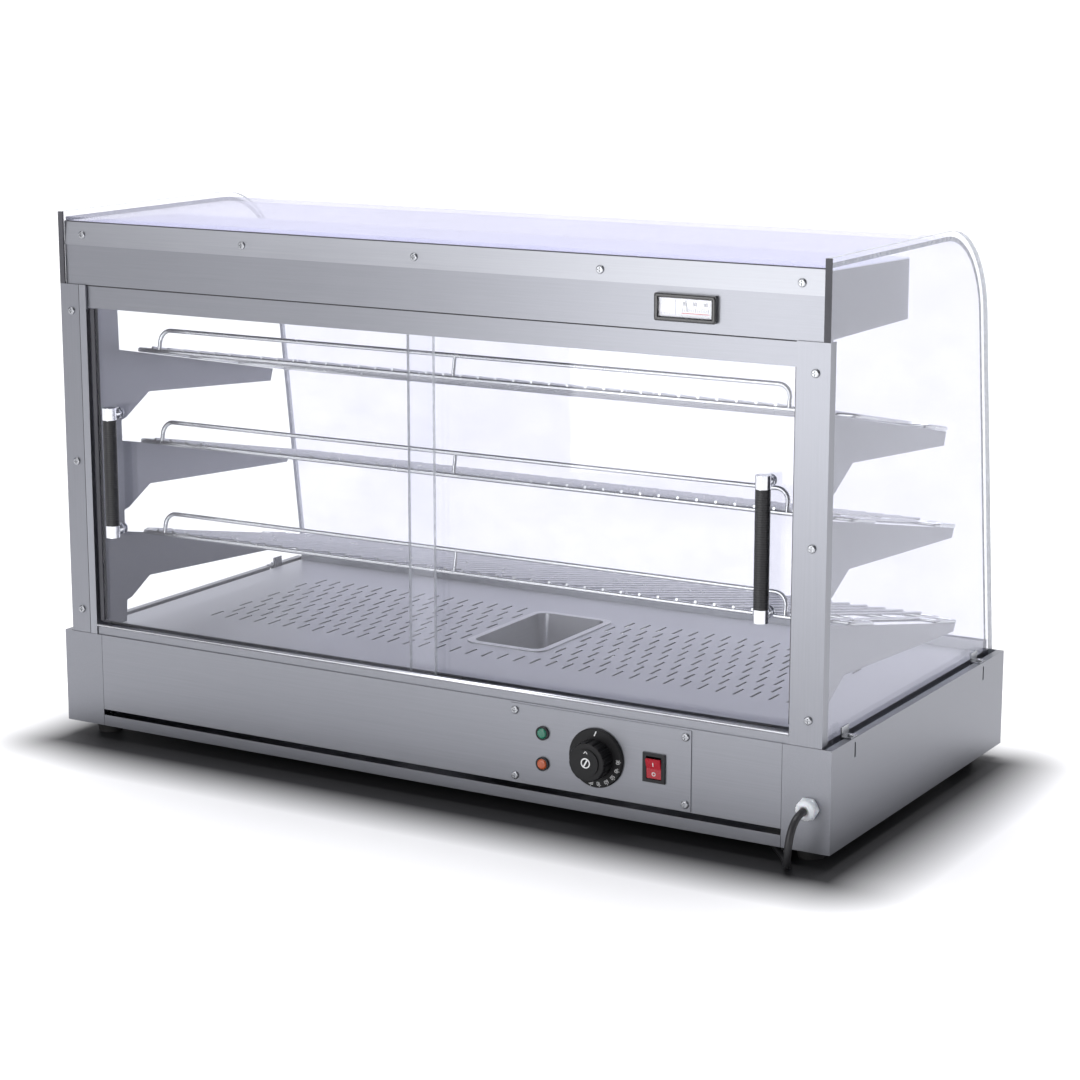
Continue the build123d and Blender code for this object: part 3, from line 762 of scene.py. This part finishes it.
def make_knob_print():
    plate_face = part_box("control_plate")[0].y
    centre = middle("knob")
    skirt = Vector((centre.x, plate_face - 4.0 * MM, centre.z))
    cap = Vector((centre.x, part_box("knob")[0].y, centre.z))
    outward = Vector((0, -1, 0))
    marks = []
    for index, text in enumerate(("30", "40", "50", "60", "70", "80", "90", "100", "110")):
        clock = math.radians(90 + 20 * index)
        ray = Vector((math.sin(clock), 0, math.cos(clock)))
        marks += number(text, skirt + ray * 27.6 * MM, 3.4 * MM, -clock)
        marks.append(stroke(skirt + ray * 30.2 * MM, skirt + ray * 31.2 * MM, 0.6 * MM))
    marks.append(stroke(skirt + Vector((-1.2, 0, 24.5)) * MM, skirt + Vector((1.2, 0, 30)) * MM, 1.3 * MM))
    piece("knob_scale", plates("knob_scale", marks, PRINT, outward), "print_white", "knob")
    badge = disc_ring(cap, 5.6 * MM, 4.3 * MM)
    badge.append(stroke(cap + Vector((-2.0, 0, -3.6)) * MM, cap + Vector((2.0, 0, 3.6)) * MM, 1.6 * MM))
    tip = cap + Vector((0, 0, 13.0)) * MM
    for side in (-1, 1):
        badge.append(stroke(cap + Vector((side * 2.2, 0, 10.4)) * MM, tip, 0.7 * MM))
    piece("knob_badge", plates("knob_badge", badge, PRINT, outward), "print_white", "knob")


ROCKER_TILT = math.radians(10)


def make_rocker_print():
    """I and O marks on the tilted rocker."""
    centre = middle("switch_rocker")
    pivot = Vector((centre.x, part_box("control_plate")[0].y + 4.2 * MM, middle("switch_housing").z))
    tilt = Matrix.Translation(pivot) @ Matrix.Rotation(ROCKER_TILT, 4, "X")
    face = Vector((0, -6.6, 0)) * MM
    marks = [stroke(face + Vector((0, 0, 3.4)) * MM, face + Vector((0, 0, 7.6)) * MM, 1.0 * MM)]
    marks += disc_ring(face + Vector((0, 0, -5.6)) * MM, 2.3 * MM, 1.4 * MM, 24)
    mesh = plates("rocker_print", marks, 0.5 * MM, Vector((0, -1, 0)))
    mesh.transform(tilt)
    piece("rocker_print", mesh, "print_white", "rocker")


def make_thermometer_print():
    low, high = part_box("thermometer_face")
    face = low.y
    outward = Vector((0, -1, 0))

    def at(u, v):
        return Vector((low.x + (high.x - low.x) * u, face, low.z + (high.z - low.z) * v))

    dark = [stroke(at(0.31, 0.1), at(0.31, 0.92), 0.35 * MM)]
    dark += [stroke(at(0.05 + 0.05 * i, 0.14), at(0.05 + 0.05 * i, 0.2), 0.5 * MM) for i in range(4)]
    for i in range(13):
        u = 0.44 + 0.04 * i
        dark.append(stroke(at(u, 0.3), at(u, 0.42 if i % 3 else 0.5), 0.35 * MM))
    for i, text in enumerate(("30", "60", "90")):
        dark += number(text, at(0.47 + 0.2 * i, 0.72), 2.8 * MM)
    dark.append(stroke(at(0.5, 0.88), at(0.53, 0.32), 0.7 * MM))
    scale = plates("thermometer_scale", dark, PRINT, outward)
    piece("thermometer_scale", scale, "print_grey", "case")
    red = [stroke(at(0.42, 0.22), at(0.94, 0.22), 0.8 * MM)]
    bar_print = plates("thermometer_bar", red, PRINT, outward)
    piece("thermometer_bar", bar_print, "print_red", "case")


make_knob_print()
make_rocker_print()
make_thermometer_print()


# ---------------------------------------------------------------- handles and gland

def make_grip(hand):
    """Black sleeve of the handle with a fine turned finish."""
    node = f"door_{hand}_grip"
    low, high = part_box(node)
    centre = (low + high) / 2
    radius = (high.x - low.x) / 2
    length = high.z - low.z
    profile = [(radius * 0.9, 0.0), (radius, 0.6 * MM)]
    rings = 48
    for step in range(rings):
        start = 2 * MM + (length - 4 * MM) * step / rings
        pitch = (length - 4 * MM) / rings
        profile += [(radius, start), (radius, start + pitch * 0.55),
                    (radius - 0.25 * MM, start + pitch * 0.65), (radius - 0.25 * MM, start + pitch * 0.9)]
    profile += [(radius, length - 2 * MM), (radius, length - 0.6 * MM), (radius * 0.9, length)]
    mesh = turned(node + "_sleeve", profile, Vector((centre.x, centre.y, low.z)), Vector((0, 0, 1)), 40)
    made = piece(node + "_sleeve", mesh, "grip_black", f"{hand}_door")
    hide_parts(node)


def make_gland():
    """White nylon cord gland: chamfered hexagon, ribbed dome nut and dark bore round the cord."""
    low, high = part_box("cable_gland")
    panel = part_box("base_front_panel")[0].y
    origin = Vector(((low.x + high.x) / 2, panel, (low.z + high.z) / 2))
    outward = Vector((0, -1, 0))
    hexagon = (high.x - low.x) / 2

    def shape(angle, radius, height):
        if height < 4.4 * MM:
            turn = (angle + math.radians(30)) % math.radians(60) - math.radians(30)
            return min(radius, hexagon * math.cos(math.radians(30)) / math.cos(turn))
        if height < 11 * MM:
            return radius * (1 + 0.02 * math.cos(18 * angle))
        return radius

    profile = [(10.6, 0.0), (12.2, 0.7), (12.4, 1.4), (12.4, 3.4), (11.6, 4.2), (10.9, 4.5), (10.9, 5.2),
               (10.6, 9.6), (9.6, 11.2), (8.0, 12.4), (6.2, 12.9), (5.0, 12.6), (4.5, 11.6), (4.3, 9.0)]
    profile = [(r * MM, h * MM) for r, h in profile]
    mesh = turned("gland_nut", profile, origin, outward, 72, shape)
    made = piece("gland_nut", mesh, "nylon_white", "case")
    inner = [(7.8, 0.2), (7.8, -9.0), (4.2, -9.0)]
    thread = turned("gland_thread", [(r * MM, h * MM) for r, h in inner], origin, outward, 48)
    piece("gland_thread", thread, "nylon_white", "case")
    nut = [(12.3, -1.3), (12.3, -6.2)]
    back = turned("gland_locknut", [(r * MM, h * MM) for r, h in nut], origin, outward, 6)
    piece("gland_locknut", back, "nylon_white", "case")
    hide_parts("cable_gland")


def make_buffer_and_gap_shade(hand):
    """Dark rubber channel pressed over the outer upright edge of a door; its dark also fills part of the
    gap to the post, painted shade in that gap.
    """
    low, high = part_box(f"door_{hand}_glass")
    side = -1 if hand == "left" else 1
    edge = low.x if side < 0 else high.x
    section = [(-1.6, -1.3), (3.0, -1.3), (3.4, -0.9), (3.4, -0.05), (0.2, -0.05), (0.2, 5.05),
               (3.4, 5.05), (3.4, 5.9), (3.0, 6.3), (-1.6, 6.3), (-2.0, 5.7), (-2.0, -0.7)]
    rings = []
    for z in (low.z + 12 * MM, low.z + 13 * MM, high.z - 17 * MM, high.z - 16 * MM):
        rings.append([Vector((edge - side * u * MM, low.y + v * MM, z)) for u, v in section])
    mesh = loft(f"door_{hand}_buffer", rings)
    piece(f"door_{hand}_buffer", mesh, "seal_rubber", f"{hand}_door")


for hand in ("left", "right"):
    make_grip(hand)
    make_buffer_and_gap_shade(hand)
make_gland()


# ---------------------------------------------------------------- studio

SHADE_SHIFT = (0.012, -0.03)
SHADE_REACH = 0.095


def footprint_distance(look):
    """Distance on the floor from the outline of the base, moved a little to the service side."""
    low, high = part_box("base_side_right")
    where = look.add("SeparateXYZ", Vector=look.add("TexCoord").outputs["Object"])
    middle_y = (low.y + high.y) / 2
    spans = (("X", high.x, SHADE_SHIFT[0]), ("Y", high.y - middle_y, middle_y + SHADE_SHIFT[1]))
    squares = []
    for axis, half, centre in spans:
        offset = look.math("ABSOLUTE", look.math("SUBTRACT", where.outputs[axis], centre))
        beyond = look.math("MAXIMUM", look.math("SUBTRACT", offset, half), 0.0)
        squares.append(look.math("MULTIPLY", beyond, beyond))
    return look.math("SQRT", look.math("ADD", *squares))


FLOOR_RADII = (0.8, 2.0, 5.0, 12.0, 30.0, 70.0)
FLOOR_SIDES = 48
FLOOR_Z = -0.2 * MM


def make_floor():
    """Wide pale disc under the case, darkened round the base like a soft contact shadow."""
    bm = bmesh.new()
    loops = []
    for radius in FLOOR_RADII:
        loop = []
        for step in range(FLOOR_SIDES):
            turn = 2 * math.pi * step / FLOOR_SIDES
            loop.append(bm.verts.new((radius * math.cos(turn), radius * math.sin(turn), FLOOR_Z)))
        loops.append(loop)
    bm.faces.new(loops[0])
    for first, second in zip(loops, loops[1:]):
        for i in range(FLOOR_SIDES):
            j = (i + 1) % FLOOR_SIDES
            bm.faces.new((first[i], first[j], second[j], second[i]))
    mesh = finished("studio_floor", bm)
    look = Look("studio_floor")
    tone = look.noise((1.3, 1.3, 1.3), 2.0, 0.5)
    paper = look.mixed(look.between(tone, 0.0, 1.0), rgba(0.93, 0.93, 0.935), rgba(0.95, 0.95, 0.952))
    clear = look.between(footprint_distance(look), 0.0, 1.0, 0.0, SHADE_REACH)
    look.set("Base Color", look.mixed(clear, rgba(0.02, 0.02, 0.022), paper))
    look.set("Roughness", look.between(tone, 0.55, 0.65))
    mesh.materials.append(look.material)
    floor = bpy.data.objects.new("studio_floor", mesh)
    bpy.context.collection.objects.link(floor)


def aimed(light, at, target):
    made = bpy.data.objects.new(light.name, light)
    made.location = at
    made.rotation_mode = "QUATERNION"
    made.rotation_quaternion = (Vector(target) - Vector(at)).to_track_quat("-Z", "Y")
    made.visible_camera = False
    bpy.context.collection.objects.link(made)


def softbox(name, at, target, size, power):
    light = bpy.data.lights.new(name, "AREA")
    light.shape = "RECTANGLE"
    light.size, light.size_y = size
    light.energy = power
    aimed(light, at, target)


def make_world():
    """Pale backdrop behind the customer side, dimmer studio towards the doors."""
    world = bpy.data.worlds.new("studio")
    bpy.context.scene.world = world
    world.use_nodes = True
    nodes, links = world.node_tree.nodes, world.node_tree.links
    where = nodes.new("ShaderNodeTexCoord")
    split = nodes.new("ShaderNodeSeparateXYZ")
    depth = nodes.new("ShaderNodeMapRange")
    ramp = nodes.new("ShaderNodeValToRGB")
    depth.inputs["From Min"].default_value = -1.0
    links.new(where.outputs["Generated"], split.inputs[0])
    links.new(split.outputs["Y"], depth.inputs["Value"])
    links.new(depth.outputs["Result"], ramp.inputs["Fac"])
    stops = ramp.color_ramp.elements
    stops[0].position, stops[0].color = 0.0, (0.19, 0.19, 0.21, 1)
    stops[1].position, stops[1].color = 1.0, (1.0, 1.0, 1.03, 1)
    middle_stop = stops.new(0.6)
    middle_stop.color = (0.4, 0.4, 0.43, 1)
    links.new(ramp.outputs["Color"], nodes["Background"].inputs["Color"])


def make_lights():
    sky = bpy.data.lights.new("overhead", "SUN")
    sky.energy = 3.1
    sky.angle = math.radians(50)
    aimed(sky, (-0.8, 0.9, 4), (0, 0, 0))
    softbox("front_low", (-0.1, -1.75, 0.42), (0.3, 0, 0.4), (1.1, 0.7), 6.5)
    softbox("front_high", (-0.75, -1.9, 1.1), (0.0, 0, 0.55), (1.9, 0.6), 9)
    bpy.context.scene.view_settings.view_transform = "Standard"


make_world()
make_floor()
make_lights()
